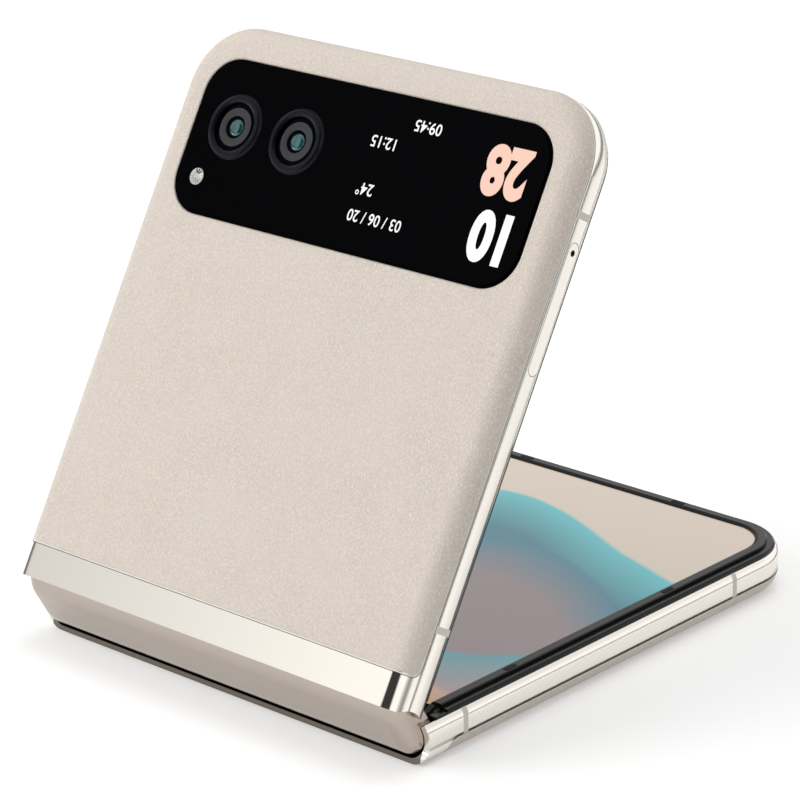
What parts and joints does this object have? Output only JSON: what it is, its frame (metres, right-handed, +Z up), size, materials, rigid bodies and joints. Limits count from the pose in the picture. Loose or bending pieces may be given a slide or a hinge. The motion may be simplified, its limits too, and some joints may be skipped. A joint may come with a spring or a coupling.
{
  "type": "foldable smartphone",
  "caption": "Clamshell foldable phone, half open: leather-backed metal halves on a two-axis geared hinge, flexible inner screen, glass window with cameras and a small outer screen.",
  "frame": {"origin": "middle of the base half's underside, on the surface the phone lies on", "axes": "+Z up; +Y from the hinge to the base half's free end, where the charging socket is; +X towards the side with the card tray"},
  "size_m": [0.0744, 0.0914, 0.0834],
  "materials": {
    "frame_metal": "satin polished, warm silver",
    "leather": "cream, fine pebble grain",
    "black_plastic": "matte black",
    "steel": "pressed",
    "screen": "glossy flexible screen",
    "battery": "foil-wrapped cell",
    "circuit_board": "solder mask",
    "antenna_plastic": "moulded flush",
    "bumper_rubber": "soft",
    "screw_steel": "dark plated",
    "hinge_steel": "machined",
    "gear_brass": "machined",
    "flex": "polyimide film",
    "black_glass": "polished, black backed",
    "camera_black": "black barrel",
    "ring_metal": "dark anodised",
    "flash_plastic": "clear moulded lens"
  },
  "bodies": {
    "base_half": {"base_frame": "frame_metal", "base_back_cover": "leather", "base_bezel": "black_plastic", "base_screen_plate": "steel", "base_screen": "screen", "main_battery": "battery", "charging_board": "circuit_board", "charging_socket": "steel", "loudspeaker": "black_plastic", "vibration_motor": "steel", "base_antenna_breaks": "antenna_plastic", "base_bumpers": "bumper_rubber", "base_screws": "screw_steel", "hinge_arm_base_left": "hinge_steel", "hinge_arm_base_right": "hinge_steel", "sector_gear_base": "gear_brass"},
    "spine": {"spine_cover": "frame_metal", "hinge_bracket_left": "hinge_steel", "hinge_bracket_right": "hinge_steel", "sync_gearbox": "hinge_steel", "fold_caps": "black_plastic", "screen_fold": "screen", "hinge_flex_cable": "flex"},
    "cover_half": {"cover_frame": "frame_metal", "cover_back_cover": "leather", "cover_bezel": "black_plastic", "cover_screen_plate": "steel", "cover_screen": "screen", "window_glass": "black_glass", "outer_screen": "black_glass", "wide_camera": "camera_black", "main_camera": "camera_black", "camera_rings": "ring_metal", "camera_windows": "black_glass", "flash_lens": "flash_plastic", "flash_led": "flash_plastic", "main_board": "circuit_board", "board_shields": "steel", "second_battery": "battery", "earpiece": "black_plastic", "front_camera": "camera_black", "cover_antenna_breaks": "antenna_plastic", "cover_bumpers": "bumper_rubber", "cover_screws": "screw_steel", "hinge_arm_cover_left": "hinge_steel", "hinge_arm_cover_right": "hinge_steel", "sector_gear_cover": "gear_brass", "key_switches": "steel", "tray_cage": "steel"},
    "pinion_1": {"sync_pinion_1": "gear_brass"},
    "pinion_2": {"sync_pinion_2": "gear_brass"},
    "pinion_3": {"sync_pinion_3": "gear_brass"},
    "pinion_4": {"sync_pinion_4": "gear_brass"},
    "power_key": {"power_key": "frame_metal"},
    "volume_key": {"volume_key": "frame_metal"},
    "card_tray": {"card_tray": "frame_metal"}
  },
  "joints": [
    {"name": "base_fold", "type": "hinge", "parent": "base_half", "child": "spine", "pos_m": [0, -0.04065, 0.00585], "axis": [1, 0, 0], "range_deg": [-30, 60], "deforming": ["screen_fold", "hinge_flex_cable"]},
    {"name": "cover_fold", "type": "hinge", "parent": "spine", "child": "cover_half", "pos_m": [0, -0.0427, 0.0094], "axis": [1, 0, 0], "range_deg": [-30, 60]},
    {"name": "pinion_1_turn", "type": "hinge", "parent": "spine", "child": "pinion_1", "pos_m": [0, -0.04343, 0.00424], "axis": [1, 0, 0], "range_deg": [-111, 222]},
    {"name": "pinion_2_turn", "type": "hinge", "parent": "spine", "child": "pinion_2", "pos_m": [0, -0.04411, 0.00543], "axis": [1, 0, 0], "range_deg": [-222, 111]},
    {"name": "pinion_3_turn", "type": "hinge", "parent": "spine", "child": "pinion_3", "pos_m": [0, -0.0448, 0.00661], "axis": [1, 0, 0], "range_deg": [-111, 222]},
    {"name": "pinion_4_turn", "type": "hinge", "parent": "spine", "child": "pinion_4", "pos_m": [0, -0.04548, 0.00779], "axis": [1, 0, 0], "range_deg": [-222, 111]},
    {"name": "power_key_press", "type": "slide", "parent": "cover_half", "child": "power_key", "axis": [1, 0, 0], "range_m": [0, 0.00025], "stiffness_N_per_m": 4000, "springref_m": -0.0001},
    {"name": "volume_key_rock", "type": "hinge", "parent": "cover_half", "child": "volume_key", "pos_m": [-0.037, -0.01565, 0.05955], "axis": [0, 0.866, -0.5], "range_deg": [-1.2, 1.2], "stiffness_Nm_per_rad": 0.4},
    {"name": "card_tray_slide", "type": "slide", "parent": "cover_half", "child": "card_tray", "axis": [1, 0, 0], "range_m": [0, 0.018]}
  ],
  "couplings": [
    {"joint": "cover_fold", "follows": "base_fold", "ratio": 1},
    {"joint": "pinion_1_turn", "follows": "base_fold", "ratio": 3.7},
    {"joint": "pinion_2_turn", "follows": "base_fold", "ratio": -3.7},
    {"joint": "pinion_3_turn", "follows": "base_fold", "ratio": 3.7},
    {"joint": "pinion_4_turn", "follows": "base_fold", "ratio": -3.7}
  ]
}
